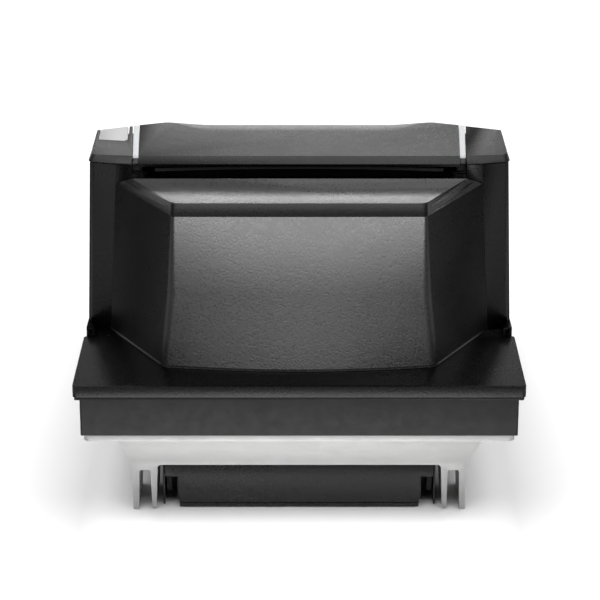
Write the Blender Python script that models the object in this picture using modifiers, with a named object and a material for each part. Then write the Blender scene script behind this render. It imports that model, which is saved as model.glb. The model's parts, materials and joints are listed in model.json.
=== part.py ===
"""In-counter checkout scanner with a weighing platter, built as separate solids.

Numbers are millimetres: x runs across, t runs in from the deck's rear edge towards the
cashier, and h is the height above the deck. world() turns them into metres, with the
origin on the floor under the middle of the object, +Y towards the cashier and +Z up.
"""
import math

import bmesh
import bpy
from mathutils import Matrix, Vector

MM = 0.001
GAP = 0.3                    # clearance between neighbouring pieces

LENGTH = 398.0               # rear edge of the deck to the cashier's edge of the platter
DECK_TOP = 101.0             # deck surface above the floor under the legs
DECK_HALF = 146.0            # half the overall width
DECK_THICK = 7.8
DECK_DEPTH = 91.0            # rear deck at full width
DECK_TONGUE = 138.4          # half width of the deck between the bezel's corner blocks
WALL = 2.5                   # moulded covers

RIM_HALF = 145.3
RIM_TOP = -9.3
RIM_BOTTOM = -35.7
SKIRT_HALF = 141.9
SKIRT_REAR = 3.0             # skirt's rear face, in from the deck's edge
CASTING_HALF = 140.4
CASTING_TOP = -36.0
CASTING_FLANGE = 5.8
CASTING_FLOOR = -68.6
FLOOR_THICK = 2.5
REAR_WALL = 30.5             # casting's rear wall, in from the deck's edge
FRONT_WALL = 367.3
LEG_DEPTH = 41.0
PLATTER_START = 214.6

TOWER_FOOT = 103.6           # where the tower's pillars start
HUMP_SHOULDER = 104.4        # hump's top edge, below its chamfer
HUMP_CREST = 110.4
PILLAR_TOP = 117.0
TOWER_TOP = 120.8
TOWER_FRONT_LOW = 213.0
TOWER_FRONT_HIGH = 195.9
WINDOW_HALF = 96.0

PLATE_GLASS_HALF = 62.0
PLATE_GLASS = (258.0, 352.0)

FINISHES = {
    "moulded_black": ((0.020, 0.020, 0.021, 1.0), 0.52, 0.0),
    "rim_grey": ((0.046, 0.046, 0.047, 1.0), 0.60, 0.0),
    "cast_aluminium": ((0.62, 0.62, 0.61, 1.0), 0.42, 1.0),
    "steel": ((0.55, 0.55, 0.55, 1.0), 0.32, 1.0),
    "glass": ((0.03, 0.04, 0.04, 1.0), 0.05, 0.0),
    "light_pipe": ((0.92, 0.93, 0.94, 1.0), 0.30, 0.0),
    "key_grey": ((0.60, 0.60, 0.60, 1.0), 0.45, 0.0),
    "board_green": ((0.02, 0.12, 0.05, 1.0), 0.45, 0.0),
    "rubber": ((0.015, 0.015, 0.015, 1.0), 0.85, 0.0),
    "mirror": ((0.85, 0.87, 0.88, 1.0), 0.04, 1.0),
}


# ---------------------------------------------------------------- helpers

def world(x, t, h):
    return Vector((x, t - LENGTH / 2, h + DECK_TOP)) * MM


def collection(name):
    group = bpy.data.collections.new(name)
    bpy.context.scene.collection.children.link(group)
    return group


def finish_of(name, finish):
    colour, roughness, metallic = FINISHES[finish]
    material = bpy.data.materials.new(name)
    material.use_nodes = True
    shader = material.node_tree.nodes["Principled BSDF"]
    shader.inputs["Base Color"].default_value = colour
    shader.inputs["Roughness"].default_value = roughness
    shader.inputs["Metallic"].default_value = metallic
    return material


def place(name, mesh, finish, parent=None):
    """Object with its origin in the middle of its mesh; no finish makes it a hidden tool."""
    corners = [v.co for v in mesh.vertices]
    low = Vector([min(c[i] for c in corners) for i in range(3)])
    high = Vector([max(c[i] for c in corners) for i in range(3)])
    centre = (low + high) / 2
    mesh.transform(Matrix.Translation(-centre))
    obj = bpy.data.objects.new(name, mesh)
    obj.location = centre
    if finish is None:
        TOOLS.objects.link(obj)
        obj.hide_render = True
        obj.display_type = "WIRE"
    else:
        PARTS.objects.link(obj)
        mesh.materials.append(finish_of(name, finish))
    if parent is not None:
        obj.parent = parent
        obj.location = centre - parent.location
    return obj


def from_bmesh(name, bm, finish, parent=None):
    mesh = bpy.data.meshes.new(name)
    bm.to_mesh(mesh)
    bm.free()
    return place(name, mesh, finish, parent)


def box(name, x, t, h, finish=None, bevel=0.0, parent=None):
    low = world(x[0], t[0], h[0])
    high = world(x[1], t[1], h[1])
    bm = bmesh.new()
    bmesh.ops.create_cube(bm, size=1.0)
    bmesh.ops.scale(bm, vec=high - low, verts=bm.verts)
    bmesh.ops.translate(bm, vec=(low + high) / 2, verts=bm.verts)
    obj = from_bmesh(name, bm, finish, parent)
    if bevel:
        round_edges(obj, bevel)
    return obj


def round_edges(obj, width, segments=2, angle=40.0):
    bevel = obj.modifiers.new("rounded edges", "BEVEL")
    bevel.width = width * MM
    bevel.segments = segments
    bevel.limit_method = "ANGLE"
    bevel.angle_limit = math.radians(angle)


def turned(name, profile, centre, finish=None, tilt=(0.0, 0.0, 0.0), steps=24, parent=None):
    """Profile of (radius, height) pairs, top to bottom, turned about an axis through centre."""
    mesh = bpy.data.meshes.new(name)
    points = [(r * MM, 0.0, h * MM) for r, h in profile]
    mesh.from_pydata(points, [(i, i + 1) for i in range(len(points) - 1)], [])
    obj = bpy.data.objects.new(name, mesh)
    obj.location = world(*centre)
    obj.rotation_euler = tilt
    screw = obj.modifiers.new("turned", "SCREW")
    screw.steps = steps
    screw.render_steps = steps
    screw.use_merge_vertices = True
    screw.merge_threshold = 0.00001
    if finish is None:
        TOOLS.objects.link(obj)
        obj.hide_render = True
        obj.display_type = "WIRE"
    else:
        PARTS.objects.link(obj)
        mesh.materials.append(finish_of(name, finish))
    if parent is not None:
        obj.parent = parent
        obj.location = world(*centre) - parent.location
    return obj


AXES = {
    "h": Matrix(((1, 0, 0), (0, 1, 0), (0, 0, 1))),
    "t": Matrix(((1, 0, 0), (0, 0, -1), (0, 1, 0))),
    "x": Matrix(((0, 0, 1), (1, 0, 0), (0, 1, 0))),
}


def prism(name, outline, axis, span, finish=None, holes=(), parent=None):
    """Flat outline pushed along one axis. It lies in (x, t), (x, h) or (t, h)."""
    curve = bpy.data.curves.new(name, "CURVE")
    curve.dimensions = "2D"
    curve.fill_mode = "BOTH"
    curve.extrude = (span[1] - span[0]) / 2 * MM
    for loop in (outline, *holes):
        spline = curve.splines.new("POLY")
        spline.points.add(len(loop) - 1)
        for point, (u, v) in zip(spline.points, loop):
            point.co = (u * MM, v * MM, 0.0, 1.0)
        spline.use_cyclic_u = True
    middle = (span[0] + span[1]) / 2
    start = {"h": world(0, 0, middle), "t": world(0, middle, 0), "x": world(middle, 0, 0)}[axis]
    guide = bpy.data.objects.new(name, curve)
    guide.matrix_world = Matrix.Translation(start) @ AXES[axis].to_4x4()
    TOOLS.objects.link(guide)
    bpy.context.view_layer.update()
    depsgraph = bpy.context.evaluated_depsgraph_get()
    mesh = bpy.data.meshes.new_from_object(guide.evaluated_get(depsgraph))
    mesh.transform(guide.matrix_world)
    bpy.data.objects.remove(guide)
    mesh.materials.clear()
    bm = bmesh.new()
    bm.from_mesh(mesh)
    bmesh.ops.remove_doubles(bm, verts=bm.verts, dist=1e-6)
    bmesh.ops.recalc_face_normals(bm, faces=bm.faces)
    bm.to_mesh(mesh)
    bm.free()
    return place(name, mesh, finish, parent)


def loft(name, rings, finish=None, closed=True, parent=None):
    """Skin over rings of (x, t, h) points; closed rings are capped at both ends."""
    bm = bmesh.new()
    rows = [[bm.verts.new(world(*point)) for point in ring] for ring in rings]
    for low, high in zip(rows, rows[1:]):
        for i in range(len(low) if closed else len(low) - 1):
            j = (i + 1) % len(low)
            bm.faces.new((low[i], low[j], high[j], high[i]))
    if closed:
        bm.faces.new(rows[0][::-1])
        bm.faces.new(rows[-1])
    bmesh.ops.remove_doubles(bm, verts=bm.verts, dist=1e-6)
    if closed:
        bmesh.ops.recalc_face_normals(bm, faces=bm.faces)
    return from_bmesh(name, bm, finish, parent)


def combine(obj, tool, operation):
    boolean = obj.modifiers.new(tool.name, "BOOLEAN")
    boolean.operation = operation
    boolean.object = tool


def cut(obj, *tools):
    for tool in tools:
        combine(obj, tool, "DIFFERENCE")


def join(obj, *tools):
    for tool in tools:
        combine(obj, tool, "UNION")


def smooth(obj, angle=35.0):
    obj.data.shade_smooth()
    obj.data.set_sharp_from_angle(angle=math.radians(angle))


def corner(before, at, after, radius, steps=5):
    """Points of the arc that rounds the corner at the middle one of three points."""
    to_before = (Vector(before) - Vector(at)).normalized()
    to_after = (Vector(after) - Vector(at)).normalized()
    half = to_before.angle(to_after) / 2
    reach = radius / math.tan(half)
    middle = Vector(at) + (to_before + to_after).normalized() * radius / math.sin(half)
    start = Vector(at) + to_before * reach - middle
    end = Vector(at) + to_after * reach - middle
    sweep = start.angle(end)
    points = []
    for step in range(steps + 1):
        part = step / steps
        arm = start * math.sin((1 - part) * sweep) + end * math.sin(part * sweep)
        points.append(tuple(middle + arm / math.sin(sweep)))
    return points


def rounded_rectangle(half, t_low, t_high, radius, steps=4):
    """Outline in (x, t), symmetric about x = 0."""
    path = [(-half, t_low), (half, t_low), (half, t_high), (-half, t_high)]
    points = []
    for i in range(4):
        points += corner(path[i - 1], path[i], path[(i + 1) % 4], radius, steps)
    return points


def rectangle(half, t_low, t_high):
    return [(-half, t_low), (half, t_low), (half, t_high), (-half, t_high)]


def mirrored(side, low, high):
    """Span of x on one side of the middle: side is -1 or +1, low and high are distances."""
    return (low, high) if side > 0 else (-high, -low)


def joint_empty(name, x, t, h):
    empty = bpy.data.objects.new(name, None)
    empty.location = world(x, t, h)
    PARTS.objects.link(empty)
    return empty


# ---------------------------------------------------------------- chassis

TUB_OUTLINE = [(127.0, -40.0), (123.5, -47.0), (119.0, -54.0), (114.6, -61.0), (112.3, -66.0),
               (111.3, CASTING_FLOOR)]
TUB_CAVITY = 106.0           # half width of the tub inside
PRONG_FILLET = 2.6           # between the tub's lower edge and the inner prong
RIM_SCREWS = [(side * 132.0, t) for side in (-1, 1) for t in (20.0, 378.0)]
BOARD_POSTS = [(side * 88.0, t) for side in (-1, 1) for t in (48.0, 182.0)]
BOARD_BOTTOM = -58.0


def leg_outline(side):
    """Two prongs under the tub, the outer one heavier, in (x, h)."""
    outline = [(111.0, CASTING_FLOOR + 2), (110.9, 0.6 - DECK_TOP),
               (110.3, -DECK_TOP), (107.7, -DECK_TOP), (107.1, 0.6 - DECK_TOP), (106.3, -73.4),
               (105.5, -72.4), (99.8, -72.4), (98.9, -73.4), (98.3, -99.3), (97.8, -99.9),
               (95.8, -99.9), (95.4, -99.3)]
    middle = (94.3 - PRONG_FILLET, CASTING_FLOOR - PRONG_FILLET)
    for step in range(6):
        angle = math.pi / 2 * step / 5
        outline.append((middle[0] + PRONG_FILLET * math.cos(angle),
                        middle[1] + PRONG_FILLET * math.sin(angle)))
    outline.append((middle[0], CASTING_FLOOR + 2))
    return [(side * x, h) for x, h in outline]


def chassis_casting():
    section = [(-x, h) for x, h in TUB_OUTLINE] + TUB_OUTLINE[::-1]
    tub = prism("chassis_casting", section, "t", (REAR_WALL, FRONT_WALL), "cast_aluminium")
    flange = prism("casting_flange", rounded_rectangle(CASTING_HALF, 8, 390, 4), "h",
                   (CASTING_TOP - CASTING_FLANGE, CASTING_TOP))
    join(tub, flange)
    for side in (-1, 1):
        for start in (REAR_WALL, FRONT_WALL - LEG_DEPTH):
            join(tub, prism("casting_leg", leg_outline(side), "t", (start, start + LEG_DEPTH)))
    cut(tub, box("casting_hollow", (-TUB_CAVITY, TUB_CAVITY), (REAR_WALL + 3.3, FRONT_WALL - 3.3),
                 (CASTING_FLOOR + FLOOR_THICK, CASTING_TOP + 5)))
    for x, t in BOARD_POSTS:
        join(tub, turned("board_post", [(0, 5), (3.5, 5), (3.5, -5), (0, -5)],
                         (x, t, BOARD_BOTTOM - GAP - 5), steps=12))
    for x, t in RIM_SCREWS:
        cut(tub, turned("casting_screw_hole", [(0, 8), (2.1, 8), (2.1, -8), (0, -8)],
                        (x, t, -39), steps=16))


def mounting_rim():
    far = LENGTH - SKIRT_REAR
    rim = prism("mounting_rim", rounded_rectangle(RIM_HALF, SKIRT_REAR, far, 1.5), "h",
                (RIM_TOP - 1.6, RIM_TOP), "rim_grey", holes=[rectangle(127, 16, 382)])
    join(rim, prism("rim_skirt", rounded_rectangle(SKIRT_HALF, SKIRT_REAR, far, 1.5), "h",
                    (RIM_BOTTOM, RIM_TOP - 1), holes=[rectangle(SKIRT_HALF - 3, 6, 392)]))
    for x, t in RIM_SCREWS:
        boss = turned("rim_boss", [(0, 13.5), (5, 13.5), (5, -12.2), (0, -12.2)],
                      (x, t, -23.5), steps=16)
        join(rim, boss)
        cut(rim, turned("rim_screw_hole", [(0, 8), (1.9, 8), (1.9, -8), (0, -8)],
                        (x, t, -30), steps=16))


def rim_screws():
    profile = [(0, 9), (1.5, 9), (1.5, -9.1), (3.4, -9.1), (3.4, -11.5), (2.9, -12.0), (0, -12.0)]
    for number, (x, t) in enumerate(RIM_SCREWS, start=1):
        screw = turned("rim_screw_%d" % number, profile, (x, t, -33), "steel", steps=16)
        smooth(screw)


def deck_outline():
    """Deck with rounded corners and a tongue that runs in under the tower."""
    side = corner((0, 0), (DECK_HALF, 0), (DECK_HALF, DECK_DEPTH), 2.5, 4)
    side += corner((DECK_HALF, 0), (DECK_HALF, DECK_DEPTH), (0, DECK_DEPTH), 2.5, 4)
    side += [(DECK_TONGUE, DECK_DEPTH), (DECK_TONGUE, TOWER_FOOT - GAP)]
    return side + [(-x, t) for x, t in reversed(side)]


def rear_deck():
    deck = prism("rear_deck", deck_outline(), "h", (-DECK_THICK, 0), "moulded_black")
    join(deck, box("deck_lip", (-136, 136), (6, 100), (RIM_TOP + GAP, -DECK_THICK + 2)))
    cut(deck, box("deck_hollow", (-133, 133), (9, 97), (RIM_TOP - 1, -2.6)))
    round_edges(deck, 0.5, segments=1, angle=60)


BLOCK_REAR = DECK_DEPTH + GAP
BLOCK_TOP = (6.2, 5.2)       # height of a corner block's rear edge, outside and inside


def corner_block(side):
    """Wedge at the bezel's rear corner, falling away under the pillar's foot."""
    inner, outer = side * (DECK_TONGUE + GAP), side * (DECK_HALF - 1.7)
    low = RIM_TOP + GAP
    rings = [[(inner, BLOCK_REAR, low), (outer, BLOCK_REAR, low),
              (outer, BLOCK_REAR, BLOCK_TOP[0]), (inner, BLOCK_REAR, BLOCK_TOP[1])],
             [(inner, 110.0, low), (outer, 110.0, low), (outer, 110.0, 5.6), (inner, 110.0, 0.5)]]
    block = loft("bezel_block", rings)
    pocket = [(side * 143.0, 4.4), (side * 139.2, 4.4)]
    for step in range(1, 8):
        angle = math.pi * step / 8
        pocket.append((side * (141.1 - 1.9 * math.cos(angle)), 3.2 - 1.9 * math.sin(angle)))
    cut(block, prism("bezel_pocket", pocket, "t", (BLOCK_REAR - 2, BLOCK_REAR + 3)))
    return block


def tower_base_bezel():
    frame = prism("tower_base_bezel", rectangle(DECK_HALF - 1.7, TOWER_FOOT, 213.8), "h",
                  (RIM_TOP + GAP, 0), "moulded_black", holes=[rectangle(110, 118, 190)])
    for side in (-1, 1):
        join(frame, corner_block(side))
    for side in (-1, 1):
        path = side_path(SIDE_LOW, side, 0.0, GAP)
        room = [(x, t) for x, t, h in path] + [(side * 112.0, 191.2), (side * 112.0, TOWER_FOOT)]
        cut(frame, prism("pillar_room", room, "h", (0.0, 12.0)))


# ---------------------------------------------------------------- under the chassis

BOX_BACK = 33.5
BOX_FRONT = 300.0
BOX_HALF = 81.8
BOX_PLATE_HALF = 80.2        # rear plate, narrower than the body behind it
BOX_LOW = -97.3
BOX_COVER_LOW = -100.4
BOX_FLANGE_HALF = 89.6
BOX_FLANGE_LOW = -78.6
PORTS = (("power_inlet", -52.0, 9.0), ("host_port", -18.0, 8.0), ("aux_port", 12.0, 8.0),
         ("scale_port", 42.0, 8.0))
PORT_HALF_HEIGHT = 6.0
PORT_MIDDLE = -88.5


def electronics_box():
    top = CASTING_FLOOR - GAP
    shell = box("electronics_box", (-BOX_HALF, BOX_HALF), (BOX_BACK + 5, BOX_FRONT), (BOX_LOW, top),
                "moulded_black")
    join(shell, box("box_plate", (-BOX_PLATE_HALF, BOX_PLATE_HALF), (BOX_BACK, BOX_BACK + 6),
                    (BOX_LOW, top)),
         box("box_flange", (-BOX_FLANGE_HALF, BOX_FLANGE_HALF), (BOX_BACK, BOX_FRONT),
             (BOX_FLANGE_LOW, top)))
    cut(shell, box("box_hollow", (-78, 78), (BOX_BACK + 3, BOX_FRONT - 3), (BOX_LOW - 5, top - 2.5)))
    for name, x, half in PORTS:
        cut(shell, box(name + "_hole", (x - half - GAP, x + half + GAP), (BOX_FRONT - 6, BOX_FRONT + 6),
                       (PORT_MIDDLE - PORT_HALF_HEIGHT - GAP, PORT_MIDDLE + PORT_HALF_HEIGHT + GAP)))


def box_cover():
    box("electronics_box_cover", (-79.9, 79.9), (BOX_BACK, BOX_FRONT - 2), (BOX_COVER_LOW, BOX_LOW - GAP),
        "moulded_black", bevel=0.4)


def ports():
    for name, x, half in PORTS:
        low, high = PORT_MIDDLE - PORT_HALF_HEIGHT, PORT_MIDDLE + PORT_HALF_HEIGHT
        socket = box(name, (x - half, x + half), (BOX_FRONT - 16, BOX_FRONT + 1), (low, high),
                     "moulded_black")
        cut(socket, box(name + "_mouth", (x - half + 1.4, x + half - 1.4),
                        (BOX_FRONT - 11, BOX_FRONT + 8), (low + 1.6, high - 1.6)))


def box_brackets():
    for side, word in ((-1, "left"), (1, "right")):
        ear = box(word + "_box_bracket", mirrored(side, 89.9, 91.1), (38, 120), (-100.6, CASTING_FLOOR - GAP),
                  "moulded_black")
        cut(ear, turned("bracket_round", [(0, 6), (28, 6), (28, -6), (0, -6)], (side * 90.5, 120, -100.6),
                        tilt=(0, math.pi / 2, 0), steps=32))
        pad = prism(word + "_box_pad", pad_outline(), "x", mirrored(side, 85.4, 88.6), "rubber")
        smooth(pad)


def pad_outline():
    """Rubber buffer hanging from the box's flange, round at its lower end."""
    top, low = BOX_FLANGE_LOW - GAP, -91.8
    points = [(46.0, low + 4), (46.0, top), (38.0, top), (38.0, low + 4)]
    for step in range(1, 8):
        angle = math.pi * step / 8
        points.append((42.0 - 4.0 * math.cos(angle), low + 4 - 4.0 * math.sin(angle)))
    return points


# ---------------------------------------------------------------- tower covers

HUMP_LOW = {"corner": (89.1, 33.6), "bow": 8.2, "end": 128.7, "radius": 9.0}
HUMP_WAIST = {"corner": (83.9, 32.2), "bow": 3.6, "end": 125.7, "radius": 8.0}
HUMP_HIGH = {"corner": (81.4, 30.7), "bow": 0.3, "end": 122.7, "radius": 3.5}
HUMP_MITRE = {"corner": (81.35, 35.65), "bow": 0.2, "end": 117.25, "radius": 5.0}
HUMP_CREASE = {"corner": (81.3, 40.6), "bow": 0.1, "end": 111.8, "radius": 7.0}
HUMP_BEAD = 0.8              # bead round the foot of the hump
CREST_DROP = 2.7 / 63.0      # the hump's top falls towards the cashier
MITRE_PROUD = 0.45


def hump_ring(shape, height, inset=0.0, back=TOWER_FOOT):
    """Closed outline: bowed rear face, rounded corners, straight flanks, flat back."""
    cx, ct = shape["corner"]
    cx, ct, end = cx - inset * 0.58, ct + inset, shape["end"] - inset * 1.15
    bow = shape["bow"]
    flank = corner((0, ct - 2 * bow), (cx, ct), (end, back), shape["radius"], 7)
    face_x, face_t = flank[0]
    rise = bow / (cx * face_x)
    points = []
    for step in range(1, 12):
        x = face_x * (step / 6 - 1)
        points.append((x, face_t - rise * (face_x ** 2 - x ** 2)))
    right = flank + [(end, back)]
    left = [(-x, t) for x, t in reversed(right)]
    return [(x, t, height(t)) for x, t in left + points + right]


def level(h):
    return lambda t: h


def crest(top):
    return lambda t: top - CREST_DROP * (t - HUMP_CREASE["corner"][1])


def mitre(t):
    """Height of the chamfer's middle line, a little proud of flat along the rear edge only."""
    proud = MITRE_PROUD * max(1 - (t - HUMP_MITRE["corner"][1]) / HUMP_MITRE["corner"][1], 0.0)
    return (HUMP_SHOULDER + crest(HUMP_CREST)(t)) / 2 + proud


def rear_cover():
    rings = [hump_ring(HUMP_LOW, level(GAP), -HUMP_BEAD), hump_ring(HUMP_LOW, level(1.0), -HUMP_BEAD),
             hump_ring(HUMP_LOW, level(1.8)), hump_ring(HUMP_WAIST, level(52)),
             hump_ring(HUMP_HIGH, level(HUMP_SHOULDER)), hump_ring(HUMP_MITRE, mitre),
             hump_ring(HUMP_CREASE, crest(HUMP_CREST))]
    cover = loft("rear_cover", rings, "moulded_black")
    past = TOWER_FOOT + 5
    low = HUMP_SHOULDER - 0.8
    hollow = loft("hump_hollow", [hump_ring(HUMP_LOW, level(-4), WALL, past),
                                  hump_ring(HUMP_WAIST, level(52), WALL, past),
                                  hump_ring(HUMP_HIGH, level(low), WALL, past),
                                  hump_ring(HUMP_CREASE, crest(HUMP_CREST - WALL), 1.4, past)])
    cut(cover, hollow)
    smooth(cover)


SIDE_LOW = [(113.0, TOWER_FOOT + GAP), (128.9, TOWER_FOOT + GAP), (144.7, 110.6), (144.7, 191.2)]
SIDE_HIGH = [(111.9, TOWER_FOOT + GAP), (122.4, TOWER_FOOT + 1.3), (140.5, 109.6), (140.5, 173.2)]
FRONT_LOW = [(144.7, 191.5), (144.7, 194.5), (95.0, TOWER_FRONT_LOW)]
FRONT_HIGH = [(140.5, 173.5), (140.5, 176.5), (95.5, TOWER_FRONT_HIGH)]


def side_path(path, side, height, grow=0.0):
    """Plan of a pillar from its inner edge round the rear corner and along the flank."""
    (ax, at), (bx, bt), (cx, ct), (dx, dt) = path
    points = [(ax, at - grow), (bx, bt - grow), (cx + grow, ct - grow), (dx + grow, dt)]
    outline = points[:1] + corner(points[0], points[1], points[2], 1.5, 3)
    outline += corner(points[1], points[2], points[3], 5.0 + grow, 6) + points[3:]
    return [(side * x, t, height) for x, t in outline]


def shell(obj):
    wall = obj.modifiers.new("wall", "SOLIDIFY")
    wall.thickness = WALL * MM
    wall.offset = -1.0
    wall.use_even_offset = True


def side_covers():
    for side, word in ((-1, "left"), (1, "right")):
        rings = [side_path(SIDE_LOW, side, GAP), side_path(SIDE_HIGH, side, PILLAR_TOP)]
        if side < 0:
            rings = rings[::-1]
        cover = loft(word + "_side_cover", rings, "moulded_black", closed=False)
        shell(cover)
        smooth(cover)


def front_path(path, height):
    right = path[:1] + corner(path[0], path[1], path[2], 3.0, 4)
    right += corner(path[1], path[2], (0, path[2][1]), 6.0, 5)
    left = [(-x, t) for x, t in reversed(right)]
    return [(x, t, height) for x, t in right + left]


def front_cover():
    cover = loft("front_cover", [front_path(FRONT_LOW, 3 * GAP), front_path(FRONT_HIGH, VISOR_UNDER - GAP)],
                 "moulded_black", closed=False)
    shell(cover)
    cut(cover, prism("window_opening", [(4 - WINDOW_HALF, 16), (WINDOW_HALF - 4, 16),
                                        (WINDOW_HALF - 10, 102), (10 - WINDOW_HALF, 102)], "t", (180, 230)))
    smooth(cover)


def front_face(h):
    """Distance in of the tower's front face at a height."""
    return TOWER_FRONT_LOW + (TOWER_FRONT_HIGH - TOWER_FRONT_LOW) * h / (VISOR_UNDER - GAP)


def vertical_window():
    """Glass just behind the opening, leaning with the tower's front."""
    back, low, high, thick = WALL + 0.5, 11.0, 107.0, 3.0
    outline = [(front_face(low) - back, low), (front_face(high) - back, high),
               (front_face(high) - back - thick, high), (front_face(low) - back - thick, low)]
    prism("vertical_window", outline, "x", (-90.0, 90.0), "glass")


CAP_LOW = [(111.9, 103.9), (122.4, 104.9), (141.2, 109.7), (141.3, 176.0), (116.4, 186.2)]
CAP_HIGH = [(111.9, 112.9), (122.4, 114.2), (139.9, 116.5), (140.3, 176.2), (116.4, 186.2)]
CAP_FOOT = PILLAR_TOP + 2 * GAP
KEY_OUTLINE = [(-137.8, 152.4), (-119.6, 148.6), (-117.6, 152.9), (-119.4, 185.1), (-137.8, 176.8)]


def cap_ring(path, side, height):
    outline = path[:1] + corner(path[0], path[1], path[2], 1.5, 3)
    outline += corner(path[1], path[2], path[3], 5.0, 6) + path[3:]
    return [(side * x, t, height) for x, t in outline]


def corner_caps():
    for side, word in ((-1, "left"), (1, "right")):
        cap = loft(word + "_corner_cap", [cap_ring(CAP_LOW, side, CAP_FOOT),
                                          cap_ring(CAP_LOW, side, CAP_FOOT + 0.4),
                                          cap_ring(CAP_HIGH, side, TOWER_TOP)], "moulded_black")
        if side < 0:
            cut(cap, prism("key_notch", grown(KEY_OUTLINE, 0.35, 12.0), "h", (110, 130)))
        smooth(cap, 14)


def grown(outline, amount, towards_cashier):
    """Key outline with clearance all round, running out past the cap's front edge."""
    middle = sum(x for x, t in outline) / len(outline)
    points = [(x + math.copysign(amount, x - middle), t - amount) for x, t in outline[:3]]
    points[2] = (outline[2][0] + amount, outline[2][1])
    points.append((outline[3][0] + amount, outline[3][1] + towards_cashier))
    points.append((outline[4][0] - amount, outline[4][1] + towards_cashier))
    return points


def control_key(empty):
    key = prism("control_key", KEY_OUTLINE, "h", (118.6, TOWER_TOP + 0.2), "key_grey", parent=empty)
    round_edges(key, 0.4, segments=2)


def key_switch():
    box("key_switch", (-134, -122), (160, 172), (111.5, 117.3), "steel")


VISOR_NEAR = 112.6           # where the visor's top meets its rear chamfer
VISOR_UNDER = 115.7
VISOR_SIDE = [(107.2, 103.0), (111.7, 189.0), (94.3, TOWER_FRONT_HIGH)]
SCOOP_START = 174.2
SCOOP_SLOPE = 0.087


def top_cover():
    far = TOWER_FRONT_HIGH + 4
    profile = [(VISOR_NEAR, TOWER_TOP), (far, TOWER_TOP), (far, VISOR_UNDER), (104.3, VISOR_UNDER),
               (104.3, 117.4), (103.7, 117.7)]
    visor = prism("top_cover", profile, "x", (-114, 114), "moulded_black")
    plan = [(-x, t) for x, t in VISOR_SIDE] + VISOR_SIDE[::-1]
    combine(visor, prism("visor_plan", plan, "h", (110, 130)), "INTERSECT")
    cut(visor, scoop())
    smooth(visor)


def scoop():
    """Shallow tilted dish along the front of the visor, ending in S-curves."""
    half, flat, reach, past = 98.0, 60.0, 24.2, 201.0
    rings = []
    for step in range(33):
        x = half * (step / 16 - 1)
        part = max((abs(x) - flat) / (half - flat), 0.0)
        start = SCOOP_START + reach * (3 * part ** 2 - 2 * part ** 3)
        low = TOWER_TOP - (past - start) * SCOOP_SLOPE
        rings.append([(x, start, TOWER_TOP), (x, past, low), (x, past, TOWER_TOP + 3.0),
                      (x, start, TOWER_TOP + 3.0)])
    return loft("visor_scoop", rings)


def light_pipes():
    for side, word in ((-1, "left"), (1, "right")):
        outline = [(side * 107.7, VISOR_NEAR), (side * 111.5, VISOR_NEAR), (side * 115.9, 187.5),
                   (side * 112.0, 189.2)]
        pipe = prism(word + "_light_pipe", outline, "h", (117.2, TOWER_TOP + 0.1), "light_pipe")
        round_edges(pipe, 0.25, segments=1)


LEDGE_END = 111.5            # outer end of the slot's ledges, beside the pillars


def slot_liner():
    """Black liner of the slot under the visor, with a stepped ledge at each end."""
    liner = box("slot_liner", (-105.0, 105.0), (124, 126), (100, VISOR_UNDER - GAP), "moulded_black")
    join(liner, box("liner_floor", (-LEDGE_END, LEDGE_END), (104.5, 126), (100, 103)))
    saddle = [(106.2, 112.0), (106.2, 117.3), (VISOR_NEAR - GAP, 119.4), (VISOR_NEAR - GAP, 112.0)]
    for side in (-1, 1):
        foot = [(LEDGE_END, 104.1), (107.0, 104.1)]
        for step in range(1, 6):
            angle = math.pi / 2 * step / 5
            foot.append((107.0 - 5.0 * math.sin(angle), 109.1 - 5.0 * math.cos(angle)))
        foot += [(102.0, 114.0), (LEDGE_END, 114.0)]
        join(liner, prism("liner_foot", [(side * x, t) for x, t in foot], "h", (100.0, 110.9)),
             box("liner_web", mirrored(side, 106.5, LEDGE_END), (110.0, 126), (100.5, 114.0)),
             box("liner_shelf", mirrored(side, 101.5, LEDGE_END), (104.1, 126), (111.5, 112.1)),
             box("liner_end", mirrored(side, 105.0, LEDGE_END), (106.2, 126), (111.8, VISOR_UNDER - GAP)),
             prism("liner_saddle", saddle, "x", mirrored(side, 107.7, LEDGE_END)))


def slot_strip():
    """Thin bowed strip in the slot, higher and slimmer in the middle, its face leaning back."""
    half, face, back = 96.6, 106.6, 108.4
    rings = []
    for step in range(25):
        x = half * (step / 12 - 1)
        part = 1 - (x / half) ** 2
        low, thick = 111.7 + 1.9 * part, 1.8 - 0.6 * part
        rings.append([(x, face, low), (x, back, low), (x, back, low + thick), (x, back - 0.4, low + thick)])
    smooth(loft("slot_strip", rings, "rim_grey"))


# ---------------------------------------------------------------- inside the tower

def tower_frame():
    frame = box("tower_frame", (-106, 106), (128, 184), (104, 107), "moulded_black")
    for side in (-1, 1):
        join(frame, box("frame_post", mirrored(side, 103.0, 106.0), (128, 184), (2, 106)),
             box("frame_arm", mirrored(side, 104.0, 134.0), (158, 174), (108.4, 111.2)),
             box("frame_riser", mirrored(side, 103.0, 106.0), (158, 174), (105, 110)))
    for t in (134.0, 178.0):
        join(frame, box("frame_tie", (-105, 105), (t - 2, t + 2), (2, 6)))


def upper_optics():
    box("upper_imager_board", (-70, 70), (137.6, 139.2), (20, 92), "board_green")
    for side, word in ((-1, "left"), (1, "right")):
        profile = [(0, 12), (5.5, 12), (7.5, 10), (7.5, 0), (9, 0), (9, -6), (0, -6)]
        lens = turned(word + "_upper_lens", profile, (side * 34, 145.6, 58), "moulded_black",
                      tilt=(-math.pi / 2, 0, 0))
        smooth(lens)
    box("upper_led_board", (-80, 80), (176, 177.6), (84, 98), "board_green")
    outline = [(150.0, 8.0), (172.0, 26.0), (170.1, 28.3), (148.1, 10.3)]
    prism("upper_fold_mirror", outline, "x", (-78, 78), "mirror")


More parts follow.
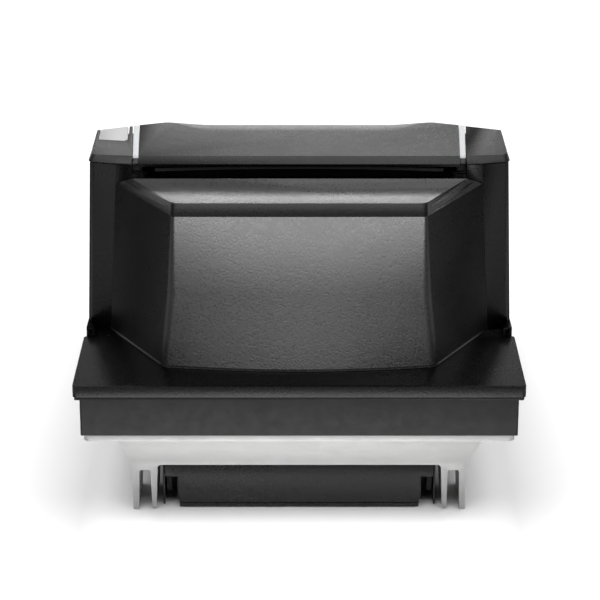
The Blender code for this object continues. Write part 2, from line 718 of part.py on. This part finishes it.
def speaker():
    profile = [(0, 4), (12, 4), (20, 7), (21, 7), (21, 5), (13, -1), (13, -8), (0, -8)]
    cone = turned("speaker", profile, (0, 50, 60), "moulded_black", tilt=(math.pi / 2, 0, 0))
    smooth(cone)


# ---------------------------------------------------------------- inside the chassis

def main_board():
    box("main_board", (-96, 96), (40, 190), (BOARD_BOTTOM, BOARD_BOTTOM + 1.6), "board_green")
    sink = box("heat_sink", (-28, 28), (90, 146), (-56.1, -52.6), "cast_aluminium")
    for number in range(8):
        x = -26.5 + number * 53.0 / 7
        join(sink, box("sink_fin", (x - 1, x + 1), (90, 146), (-53.0, -42.0)))


def lower_optics():
    tray = box("lower_optics_tray", (-100, 100), (244, 360), (CASTING_FLOOR + FLOOR_THICK + GAP, -30),
               "moulded_black")
    cut(tray, box("tray_hollow", (-97.6, 97.6), (246.4, 357.6), (-63.5, -20)))
    box("lower_imager", (-22, 22), (249, 268), (-62.8, -40), "moulded_black", bevel=1.0)
    profile = [(0, 7), (5.5, 7), (7.5, 5), (7.5, -5), (0, -5)]
    lens = turned("lower_lens", profile, (0, 273.5, -50), "moulded_black", tilt=(-math.pi / 2, 0, 0))
    smooth(lens)
    outline = [(318.0, -62.5), (348.0, -33.0), (345.9, -30.9), (315.9, -60.4)]
    prism("lower_fold_mirror", outline, "x", (-70, 70), "mirror")
    for side, word in ((-1, "left"), (1, "right")):
        box(word + "_led_board", mirrored(side, 95.6, 97.2), (262, 352), (-56, -34), "board_green")


# ---------------------------------------------------------------- weighing

CELL_T = (216.0, 240.0)
CELL_H = (-48.0, -24.0)
PADS = [(side * 104.0, t) for side in (-1, 1) for t in (232.0, 370.0)]
SPIDER = (-20.0, -17.0)


def load_cell():
    cell = box("load_cell", (-62, 62), CELL_T, CELL_H, "cast_aluminium", bevel=0.6)
    middle = (CELL_T[0] + CELL_T[1]) / 2
    height = (CELL_H[0] + CELL_H[1]) / 2
    for x in (-14.0, 14.0):
        cut(cell, turned("cell_hole", [(0, 20), (8, 20), (8, -20), (0, -20)], (x, middle, height),
                         tilt=(math.pi / 2, 0, 0)))
    cut(cell, box("cell_slot", (-14, 14), (CELL_T[0] - 5, CELL_T[1] + 5), (height - 3, height + 3)))
    box("load_cell_foot", (-60, -40), (CELL_T[0] + 2, CELL_T[1] - 2),
        (CASTING_FLOOR + FLOOR_THICK + GAP, CELL_H[0] - GAP), "cast_aluminium")


def overload_stop():
    profile = [(0, 21.5), (3, 21.5), (3, -14), (5, -14), (5, -21.5), (0, -21.5)]
    smooth(turned("overload_stop", profile, (88, 228, -44.4), "steel", steps=16))


def weigh_platform(empty):
    hole = rectangle(76, 254, 360)
    spider = prism("weigh_spider", rounded_rectangle(116, 222, 388 - 8, 6), "h", SPIDER,
                   "cast_aluminium", holes=[hole], parent=empty)
    for side in (-1, 1):
        join(spider, box("spider_rib", mirrored(side, 78.0, 81.0), (226, 376), (-25.0, SPIDER[0] + 1)))
    box("load_cell_spacer", (40, 60), (CELL_T[0] + 6, CELL_T[1] - 2), (CELL_H[1] + 0.8, SPIDER[0] - GAP),
        "steel", parent=empty)
    for number, (x, t) in enumerate(PADS, start=1):
        profile = [(0, 6.6), (5.5, 6.6), (6.5, 5.6), (6.5, -6.6), (0, -6.6)]
        pad = turned("platter_pad_%d" % number, profile, (x, t, -10.0), "rubber", steps=20,
                     parent=empty)
        smooth(pad)


def platter(empty):
    low, high = PLATE_GLASS
    plate = prism("platter_plate", rounded_rectangle(DECK_HALF, PLATTER_START, LENGTH, 2.5), "h",
                  (-DECK_THICK, 0), "steel", parent=empty)
    cut(plate, box("platter_hollow", (-DECK_HALF + 3, DECK_HALF - 3), (PLATTER_START + 3, LENGTH - 3),
                   (-12, -3)),
        box("platter_window", (-PLATE_GLASS_HALF, PLATE_GLASS_HALF), (low, high), (-6, 6)))
    round_edges(plate, 0.5, segments=1, angle=60)
    box("platter_glass", (-PLATE_GLASS_HALF + GAP, PLATE_GLASS_HALF - GAP), (low + GAP, high - GAP),
        (-3.0, -0.1), "glass", parent=empty)


# ---------------------------------------------------------------- assembly

def clear_scene():
    for obj in list(bpy.data.objects):
        bpy.data.objects.remove(obj)


clear_scene()
PARTS = collection("checkout_scanner")
TOOLS = collection("cutters")

chassis_casting()
mounting_rim()
rim_screws()
rear_deck()
tower_base_bezel()
electronics_box()
box_cover()
ports()
box_brackets()
rear_cover()
side_covers()
front_cover()
vertical_window()
corner_caps()
top_cover()
light_pipes()
slot_liner()
slot_strip()
tower_frame()
upper_optics()
speaker()
key_switch()
main_board()
lower_optics()
load_cell()
overload_stop()
weigh_platform(joint_empty("platform_travel", 0, 301, -18.5))
platter(joint_empty("platter_lift", 0, 306, 0))
control_key(joint_empty("key_travel", -128.3, 168, 120))
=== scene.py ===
"""Looks of the in-counter checkout scanner: materials, studio light and camera round the CAD frame."""
import json
import math

import bpy
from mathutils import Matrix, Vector

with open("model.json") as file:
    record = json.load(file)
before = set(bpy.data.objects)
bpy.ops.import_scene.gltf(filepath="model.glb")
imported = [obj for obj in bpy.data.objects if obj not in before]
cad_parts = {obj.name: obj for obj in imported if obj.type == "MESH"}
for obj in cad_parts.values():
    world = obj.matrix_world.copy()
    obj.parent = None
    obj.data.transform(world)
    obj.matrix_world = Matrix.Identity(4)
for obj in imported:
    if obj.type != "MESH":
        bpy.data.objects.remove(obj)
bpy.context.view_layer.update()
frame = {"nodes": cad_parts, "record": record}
NODES = frame["nodes"]

MM = 0.001
BOTH_SIDES = (-1, 1)

# Least angle, in degrees, of an edge that is rounded on most pieces.
SHARP = 28.0

# Soft boxes: (turn, rise, inner, outer, strength), angles in degrees.
# Turn 0 is the customer's side, 180 the cashier's side; rise is above the horizon.
AMBIENT = 0.01
MIDDLE_BOXES = [
    (0, -50, 5, 30, 3.0),
    (0, -20, 3, 22, 0.5),
    (180, -15, 5, 25, 2.5),
    (180, 20, 2, 16, 1.1),
    (180, 60, 3, 25, 1.5),
    (0, 90, 5, 30, 0.32),
]
SIDE_BOXES = [
    (38, -20, 3, 25, 0.45),
    (38, 10, 3, 25, 0.6),
    (85, -20, 5, 30, 0.7),
    (140, 15, 5, 25, 0.88),
]

# Cards: (name, place, target, width, height, watts, pieces lit, pieces that shade it).
CARDS = [
    ("floor_wash", (0, 0, 10), (0, 0, 0), 16.0, 16.0, 4200.0, "floor", None),
    ("low_card", (0, -0.5, 0.12), (0, 0, 0.12), 0.46, 0.08, 0.44, "rear_cover", None),
    ("high_card", (0, -0.5, 0.20), (0, 0, 0.20), 0.46, 0.08, 1.40, "rear_cover", None),
    ("crest_card", (0, 0.9, 0.46), (0, 0, 0.2), 0.9, 0.10, 1.9, "rear_cover", "rear_cover"),
    ("key_ceiling", (0, 0.3, 1.6), (0, 0.1, 0.1), 3.0, 3.0, 22.0, "control_key", None),
    ("plate_ceiling", (0, 0.3, 1.6), (0, 0.1, 0.1), 3.0, 3.0, 8.0, "platter_plate", None),
]

# The floor's paper, in metres: the unit's shadow starts inside these half sizes, and from them the
# paper darkens over the reaches, painted shade that shapes the shadow's edge.
FLOOR_HALF = 20.0
SHADE_PAINT_HALF = (0.095, 0.165)
SHADE_PAINT_REACH = (0.05, 0.26)
UNIT_HALF = (0.13, 0.19)
UNIT_REACH = (0.06, 0.06)
PAPER_NEAR = ((0.90,) * 3, (0.93,) * 3)
PAPER_PAINTED_SHADE = (0.50,) * 3

CAMERA_PLACE = (0.0, -1.5772, 0.6617)
CAMERA_TILT = 70.0
CAMERA_LENS = 138.96
CAMERA_SENSOR = 36.0
CAMERA_SHIFT = 0.0013

# Feet of the casting are painted darker, as painted shade, up to the first height, and plain from the
# second, in metres.
FOOT_SHADE_HEIGHTS = (0.012, 0.044)


# ---------------------------------------------------------------- node helpers

class Graph:
    """A material's node tree with short ways to add and join nodes."""

    def __init__(self, name):
        self.material = bpy.data.materials.new(name)
        self.material.use_nodes = True
        self.tree = self.material.node_tree
        self.shader = self.tree.nodes["Principled BSDF"]
        coords = self.tree.nodes.new("ShaderNodeTexCoord")
        self.place = coords.outputs["Object"]

    def node(self, kind, **settings):
        node = self.tree.nodes.new(kind)
        for key, value in settings.items():
            setattr(node, key, value)
        return node

    def link(self, source, target):
        self.tree.links.new(source, target)

    def stretched(self, x, y, z):
        mapping = self.node("ShaderNodeMapping")
        mapping.inputs["Scale"].default_value = (x, y, z)
        self.link(self.place, mapping.inputs["Vector"])
        return mapping.outputs["Vector"]

    def noise(self, scale, detail=2.0, roughness=0.5, vector=None):
        noise = self.node("ShaderNodeTexNoise")
        noise.inputs["Scale"].default_value = scale
        noise.inputs["Detail"].default_value = detail
        noise.inputs["Roughness"].default_value = roughness
        self.link(vector or self.place, noise.inputs["Vector"])
        return noise.outputs["Fac"]

    def cells(self, scale, feature="F1"):
        cells = self.node("ShaderNodeTexVoronoi", feature=feature)
        cells.inputs["Scale"].default_value = scale
        self.link(self.place, cells.inputs["Vector"])
        return cells.outputs["Distance"]

    def spread(self, value, low, high, start=0.3, end=0.7):
        spread = self.node("ShaderNodeMapRange")
        spread.inputs["From Min"].default_value = start
        spread.inputs["From Max"].default_value = end
        spread.inputs["To Min"].default_value = low
        spread.inputs["To Max"].default_value = high
        self.link(value, spread.inputs["Value"])
        return spread.outputs["Result"]

    def math(self, operation, first, second):
        node = self.node("ShaderNodeMath", operation=operation)
        for socket, value in zip(node.inputs, (first, second)):
            if isinstance(value, (int, float)):
                socket.default_value = value
            else:
                self.link(value, socket)
        return node.outputs["Value"]

    def blend(self, factor, first, second):
        mix = self.node("ShaderNodeMix", data_type="RGBA")
        self.link(factor, mix.inputs["Factor"])
        for socket, colour in ((mix.inputs["A"], first), (mix.inputs["B"], second)):
            if isinstance(colour, tuple):
                socket.default_value = (*colour, 1.0)
            else:
                self.link(colour, socket)
        return mix.outputs["Result"]

    def bump(self, height, distance, strength=1.0, below=None):
        bump = self.node("ShaderNodeBump")
        bump.inputs["Strength"].default_value = strength
        bump.inputs["Distance"].default_value = distance
        self.link(height, bump.inputs["Height"])
        if below is not None:
            self.link(below, bump.inputs["Normal"])
        return bump.outputs["Normal"]

    def finish(self, colour=None, roughness=None, normal=None, **constants):
        if colour is not None:
            self.link(colour, self.shader.inputs["Base Color"])
        if roughness is not None:
            self.link(roughness, self.shader.inputs["Roughness"])
        if normal is not None:
            self.link(normal, self.shader.inputs["Normal"])
        for key, value in constants.items():
            self.shader.inputs[key.replace("_", " ")].default_value = value
        return self.material


# ---------------------------------------------------------------- materials

def edges(g, radius):
    """1 on corners and edges, 0 on open surfaces, broken up by handling."""
    rounded = g.node("ShaderNodeBevel", samples=4)
    rounded.inputs["Radius"].default_value = radius * MM
    facing = g.node("ShaderNodeVectorMath", operation="DOT_PRODUCT")
    g.link(rounded.outputs["Normal"], facing.inputs[0])
    g.link(g.node("ShaderNodeNewGeometry").outputs["Normal"], facing.inputs[1])
    rubbed = g.spread(g.noise(70.0, 3.0, 0.6), 0.35, 1.0)
    return g.math("MULTIPLY", g.spread(facing.outputs["Value"], 1.0, 0.0, 0.86, 0.99), rubbed)


def moulded(name, tone=0.008, grain=720.0, depth=0.00016, rough=(0.28, 0.36), specular=0.5):
    """Black moulded plastic: spark-eroded grain, faint handling smears, edges rubbed smooth."""
    g = Graph(name)
    speck = g.noise(grain, 2.0, 0.65)
    cloud = g.noise(14.0, 3.0)
    worn = edges(g, 0.7)
    body = g.blend(g.spread(speck, 0.0, 1.0, 0.3, 0.7), (tone * 0.55,) * 3,
                   (tone * 1.45, tone * 1.45, tone * 1.5))
    colour = g.blend(worn, body, (tone * 2.6,) * 3)
    smear = g.math("MULTIPLY", g.spread(cloud, 0.0, 1.0), g.spread(g.noise(95.0, 4.0, 0.6), 0.4, 1.0))
    sheen = g.math("ADD", g.spread(smear, rough[0], rough[1], 0.0, 1.0), g.spread(speck, -0.05, 0.05))
    roughness = g.math("SUBTRACT", sheen, g.math("MULTIPLY", worn, 0.08))
    pits = g.bump(speck, depth, 0.8)
    normal = g.bump(g.noise(grain * 0.3, 1.0), depth, 0.25, pits)
    return g.finish(colour, roughness, normal, Specular_IOR_Level=specular)


def coated(name, tone=0.026, specular=0.4):
    """Powder coat: flat and even, with a very shallow orange peel and edges where it thins."""
    g = Graph(name)
    worn = edges(g, 0.6)
    even = g.blend(g.spread(g.noise(40.0, 4.0), 0.0, 1.0), (tone * 0.92,) * 3, (tone * 1.08,) * 3)
    colour = g.blend(worn, even, (tone * 1.9,) * 3)
    roughness = g.spread(g.noise(160.0, 2.0), 0.42, 0.50)
    peel = g.bump(g.noise(520.0, 2.0), 0.00003, 0.5)
    return g.finish(colour, roughness, peel, Specular_IOR_Level=specular)


def cast(name, tone=0.72):
    """Die-cast aluminium: fine blasted skin, flow marks, feet darkened as painted shade, rubbed edges.
    """
    g = Graph(name)
    skin = g.noise(1300.0, 3.0, 0.7)
    flow = g.noise(1.0, 4.0, 0.55, g.stretched(26.0, 26.0, 90.0))
    mottle = g.noise(160.0, 4.0, 0.6)
    mixed = g.math("MULTIPLY", g.spread(flow, 0.55, 1.0), g.spread(mottle, 0.70, 1.0))
    grey = g.blend(g.math("MULTIPLY", mixed, g.spread(skin, 0.80, 1.0)), (tone * 0.88,) * 3,
                   (tone * 1.08, tone * 1.08, tone * 1.07))
    height = g.node("ShaderNodeSeparateXYZ")
    g.link(g.place, height.inputs["Vector"])
    # Painted shade: the casting turns darker towards its feet, between the two foot heights.
    above_foot_shade = g.spread(height.outputs["Z"], 0.0, 1.0, *FOOT_SHADE_HEIGHTS)
    foot_shaded = g.blend(above_foot_shade, (tone * 0.62,) * 3, grey)
    worn = edges(g, 0.8)
    colour = g.blend(worn, foot_shaded, (tone * 1.10,) * 3)
    roughness = g.math("SUBTRACT", g.spread(mottle, 0.40, 0.52), g.math("MULTIPLY", worn, 0.10))
    normal = g.bump(skin, 0.00006, 0.6, g.bump(flow, 0.0002, 0.2))
    return g.finish(colour, roughness, normal, Metallic=0.55)


def brushed(name, tone=0.60, along=(4.0, 2400.0, 2400.0)):
    """Steel brushed along one direction, with a few long scuffs."""
    g = Graph(name)
    lines = g.noise(1.0, 3.0, 0.6, g.stretched(*along))
    scuffs = g.spread(g.noise(1.0, 2.0, 0.5, g.stretched(12.0, 260.0, 260.0)), 0.0, 1.0, 0.62, 0.70)
    body = g.blend(g.spread(lines, 0.0, 1.0), (tone * 0.84,) * 3, (tone * 1.10,) * 3)
    colour = g.blend(scuffs, body, (tone * 1.16,) * 3)
    roughness = g.math("ADD", g.spread(lines, 0.30, 0.38), g.spread(g.noise(9.0, 3.0), -0.03, 0.05))
    return g.finish(colour, roughness, g.bump(lines, 0.00002, 0.6), Metallic=1.0)


def smoked_glass(name):
    """Dark scanning glass with faint wipe marks."""
    g = Graph(name)
    smear = g.noise(1.0, 4.0, 0.5, g.stretched(30.0, 9.0, 30.0))
    colour = g.blend(g.spread(smear, 0.0, 1.0), (0.008, 0.010, 0.011), (0.014, 0.016, 0.018))
    normal = g.bump(g.noise(25.0, 1.0), 0.00002, 0.2)
    return g.finish(colour, g.spread(smear, 0.03, 0.09), normal, Coat_Weight=1.0, Coat_Roughness=0.02)


def diffuser(name):
    """Milky light pipe, lit from inside."""
    g = Graph(name)
    veil = g.noise(250.0, 2.0)
    colour = g.blend(g.spread(veil, 0.0, 1.0), (0.90, 0.92, 0.94), (0.97, 0.98, 1.0))
    g.link(colour, g.shader.inputs["Emission Color"])
    return g.finish(colour, g.spread(veil, 0.28, 0.36), g.bump(veil, 0.00002, 0.3),
                    Emission_Strength=0.45, Subsurface_Weight=0.2, Subsurface_Scale=0.002)


def satin_key(name):
    """Pale grey key, a little shinier where thumbs land."""
    g = Graph(name)
    speck = g.noise(1200.0, 2.0)
    touched = g.noise(60.0, 3.0)
    body = g.blend(g.spread(speck, 0.0, 1.0), (0.80, 0.80, 0.80), (0.88, 0.88, 0.88))
    colour = g.blend(edges(g, 0.5), body, (0.92, 0.92, 0.92))
    return g.finish(colour, g.spread(touched, 0.36, 0.50), g.bump(speck, 0.00004, 0.6), Metallic=0.3)


def solder_mask(name):
    """Green lacquer over copper tracks."""
    g = Graph(name)
    tracks = g.cells(420.0, "DISTANCE_TO_EDGE")
    colour = g.blend(g.spread(tracks, 0.0, 1.0, 0.02, 0.08), (0.03, 0.20, 0.09), (0.01, 0.10, 0.04))
    return g.finish(colour, g.spread(g.noise(200.0), 0.30, 0.45), g.bump(tracks, 0.00005, 0.4))


def rubber(name):
    """Dull black rubber with a dusty bloom."""
    g = Graph(name)
    speck = g.noise(1500.0, 2.0)
    bloom = g.spread(g.noise(45.0, 3.0), 0.0, 1.0)
    body = g.blend(g.spread(speck, 0.0, 1.0), (0.008,) * 3, (0.014,) * 3)
    colour = g.blend(g.math("MULTIPLY", bloom, 0.4), body, (0.03,) * 3)
    return g.finish(colour, g.spread(speck, 0.72, 0.88), g.bump(speck, 0.00006, 0.6),
                    Specular_IOR_Level=0.3)


def silvered(name):
    """Front-silvered mirror with a little haze."""
    g = Graph(name)
    haze = g.noise(60.0, 2.0)
    colour = g.blend(g.spread(haze, 0.0, 1.0), (0.82, 0.84, 0.85), (0.88, 0.89, 0.90))
    return g.finish(colour, g.spread(haze, 0.02, 0.05), g.bump(haze, 0.00001, 0.1), Metallic=1.0)


SLOT_FINISH = {
    "moulded_black": moulded,
    "rim_grey": coated,
    "cast_aluminium": cast,
    "steel": brushed,
    "glass": smoked_glass,
    "light_pipe": diffuser,
    "key_grey": satin_key,
    "board_green": solder_mask,
    "rubber": rubber,
    "mirror": silvered,
}


def dress(node, material):
    mesh = NODES[node].data
    mesh.materials.clear()
    mesh.materials.append(material)


def soften(node, width, angle, segments=3):
    """Rounded edges on a CAD node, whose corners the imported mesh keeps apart."""
    obj = NODES[node]
    weld = obj.modifiers.new("weld", "WELD")
    weld.merge_threshold = 0.00001
    bevel = obj.modifiers.new("edges", "BEVEL")
    bevel.width = width * MM
    bevel.segments = segments
    bevel.limit_method = "ANGLE"
    bevel.angle_limit = math.radians(angle)
    bevel.harden_normals = True
    obj.data.shade_smooth()


# Width of the rounded edge in millimetres and the least angle that is rounded.
EDGE_ROUNDS = {
    "rear_cover": (0.5, 18.0),
    "top_cover": (0.45, 12.0),
    "left_corner_cap": (0.5, 12.0),
    "right_corner_cap": (0.5, 12.0),
    "rear_deck": (0.4, SHARP),
    "tower_base_bezel": (0.35, 20.0),
    "mounting_rim": (0.4, SHARP),
    "chassis_casting": (0.6, SHARP),
    "electronics_box": (0.5, SHARP),
    "platter_plate": (0.5, SHARP),
    "front_cover": (0.5, SHARP),
    "control_key": (0.3, SHARP),
}
PLAIN_ROUND = (0.25, 30.0)
# The slot strip gets a paler tone: a painted highlight standing in for the bright line along the slot
# under the visor.
TONES = {"slot_strip": 0.10}

subparts = {part["node"]: part["material_slot"] for part in frame["record"]["subparts"]}
for node, slot in sorted(subparts.items()):
    tone = TONES.get(node)
    finish = SLOT_FINISH[slot]
    dress(node, finish(node + "_finish", tone) if tone else finish(node + "_finish"))
    soften(node, *EDGE_ROUNDS.get(node, PLAIN_ROUND))


# ---------------------------------------------------------------- studio

def heading(turn, rise):
    """Unit vector to a soft box: turned from the customer's side, risen from the horizon, degrees."""
    turn, rise = math.radians(turn), math.radians(rise)
    return (math.sin(turn) * math.cos(rise), -math.cos(turn) * math.cos(rise), math.sin(rise))


def studio_world(ambient, boxes):
    """A dim room with round soft boxes far away: (turn, rise, inner, outer, strength) each."""
    room = bpy.data.worlds.new("studio")
    room.use_nodes = True
    bpy.context.scene.world = room
    tree = room.node_tree
    coords = tree.nodes.new("ShaderNodeTexCoord")
    total = None
    for turn, rise, inner, outer, strength in boxes:
        facing = tree.nodes.new("ShaderNodeVectorMath")
        facing.operation = "DOT_PRODUCT"
        facing.inputs[1].default_value = heading(turn, rise)
        tree.links.new(coords.outputs["Generated"], facing.inputs[0])
        edge = tree.nodes.new("ShaderNodeMapRange")
        edge.interpolation_type = "SMOOTHSTEP"
        edge.inputs["From Min"].default_value = math.cos(math.radians(outer))
        edge.inputs["From Max"].default_value = math.cos(math.radians(inner))
        edge.inputs["To Max"].default_value = strength
        tree.links.new(facing.outputs["Value"], edge.inputs["Value"])
        add = tree.nodes.new("ShaderNodeMath")
        add.operation = "ADD"
        add.inputs[0].default_value = ambient
        if total is not None:
            tree.links.new(total, add.inputs[0])
        tree.links.new(edge.outputs["Result"], add.inputs[1])
        total = add.outputs["Value"]
    background = tree.nodes["Background"]
    background.inputs["Color"].default_value = (1.0, 1.0, 1.0, 1.0)
    tree.links.new(total, background.inputs["Strength"])


def area_light(name, place, target, width, height, power, lit, shaded_by):
    """A soft card that reaches only the lit pieces, and is shaded only by shaded_by where given."""
    data = bpy.data.lights.new(name, "AREA")
    data.shape = "RECTANGLE"
    data.size = width
    data.size_y = height
    data.energy = power
    light = bpy.data.objects.new(name, data)
    light.location = place
    light.rotation_euler = (Vector(target) - Vector(place)).to_track_quat("-Z", "Y").to_euler()
    light.visible_camera = False
    bpy.context.scene.collection.objects.link(light)
    light.light_linking.receiver_collection = lit
    if shaded_by is not None:
        light.light_linking.blocker_collection = shaded_by


def only(obj):
    collection = bpy.data.collections.new("only_" + obj.name)
    collection.objects.link(obj)
    return collection


def floor():
    mesh = bpy.data.meshes.new("floor")
    half = FLOOR_HALF
    mesh.from_pydata([(-half, -half, 0), (half, -half, 0), (half, half, 0), (-half, half, 0)], [],
                     [(0, 1, 2, 3)])
    obj = bpy.data.objects.new("floor", mesh)
    bpy.context.scene.collection.objects.link(obj)
    g = Graph("floor_paper")
    fibre = g.blend(g.spread(g.noise(3.0, 3.0), 0.0, 1.0), *PAPER_NEAR)
    # Painted shade: the paper is paler under the unit and darker past it, shaping the edge of the
    # unit's shadow.
    colour = g.blend(past_unit(g, SHADE_PAINT_HALF, SHADE_PAINT_REACH), fibre, PAPER_PAINTED_SHADE)
    material = g.finish(colour, g.spread(g.noise(40.0), 0.85, 0.95), Specular_IOR_Level=0.0)
    open_floor(g)
    mesh.materials.append(material)
    return obj


def past_unit(g, half, reach):
    """0 within half sizes across and along the unit, 1 from a reach further out."""
    apart = g.node("ShaderNodeSeparateXYZ")
    g.link(g.place, apart.inputs["Vector"])
    ramps = []
    for axis, start, length in zip("XY", half, reach):
        away = g.math("ABSOLUTE", apart.outputs[axis], 0.0)
        ramps.append(g.spread(away, 0.0, 1.0, start, start + length))
    return g.math("MAXIMUM", *ramps)


def open_floor(g):
    """Past the unit's own shadow, reflections see the soft boxes and not the paper."""
    ray = g.node("ShaderNodeLightPath")
    through = g.node("ShaderNodeMixShader")
    outside = past_unit(g, UNIT_HALF, UNIT_REACH)
    g.link(g.math("MULTIPLY", outside, ray.outputs["Is Glossy Ray"]), through.inputs["Fac"])
    g.link(g.shader.outputs["BSDF"], through.inputs[1])
    g.link(g.node("ShaderNodeBsdfTransparent").outputs["BSDF"], through.inputs[2])
    g.link(through.outputs["Shader"], g.tree.nodes["Material Output"].inputs["Surface"])


def camera():
    data = bpy.data.cameras.new("camera")
    data.sensor_width = CAMERA_SENSOR
    data.lens = CAMERA_LENS
    data.shift_x = CAMERA_SHIFT
    cam = bpy.data.objects.new("camera", data)
    cam.location = CAMERA_PLACE
    cam.rotation_euler = (math.radians(CAMERA_TILT), 0.0, 0.0)
    bpy.context.scene.collection.objects.link(cam)
    bpy.context.scene.camera = cam


camera()
paper = floor()
boxes = MIDDLE_BOXES + [(side * turn, *rest) for side in BOTH_SIDES for turn, *rest in SIDE_BOXES]
studio_world(AMBIENT, boxes)
bpy.context.scene.view_settings.view_transform = "Standard"
LIT = {"floor": only(paper)}
for *place_and_power, lit, shaded_by in CARDS:
    for piece in (lit, shaded_by):
        if piece is not None and piece not in LIT:
            LIT[piece] = only(NODES[piece])
    area_light(*place_and_power, LIT[lit], LIT.get(shaded_by))
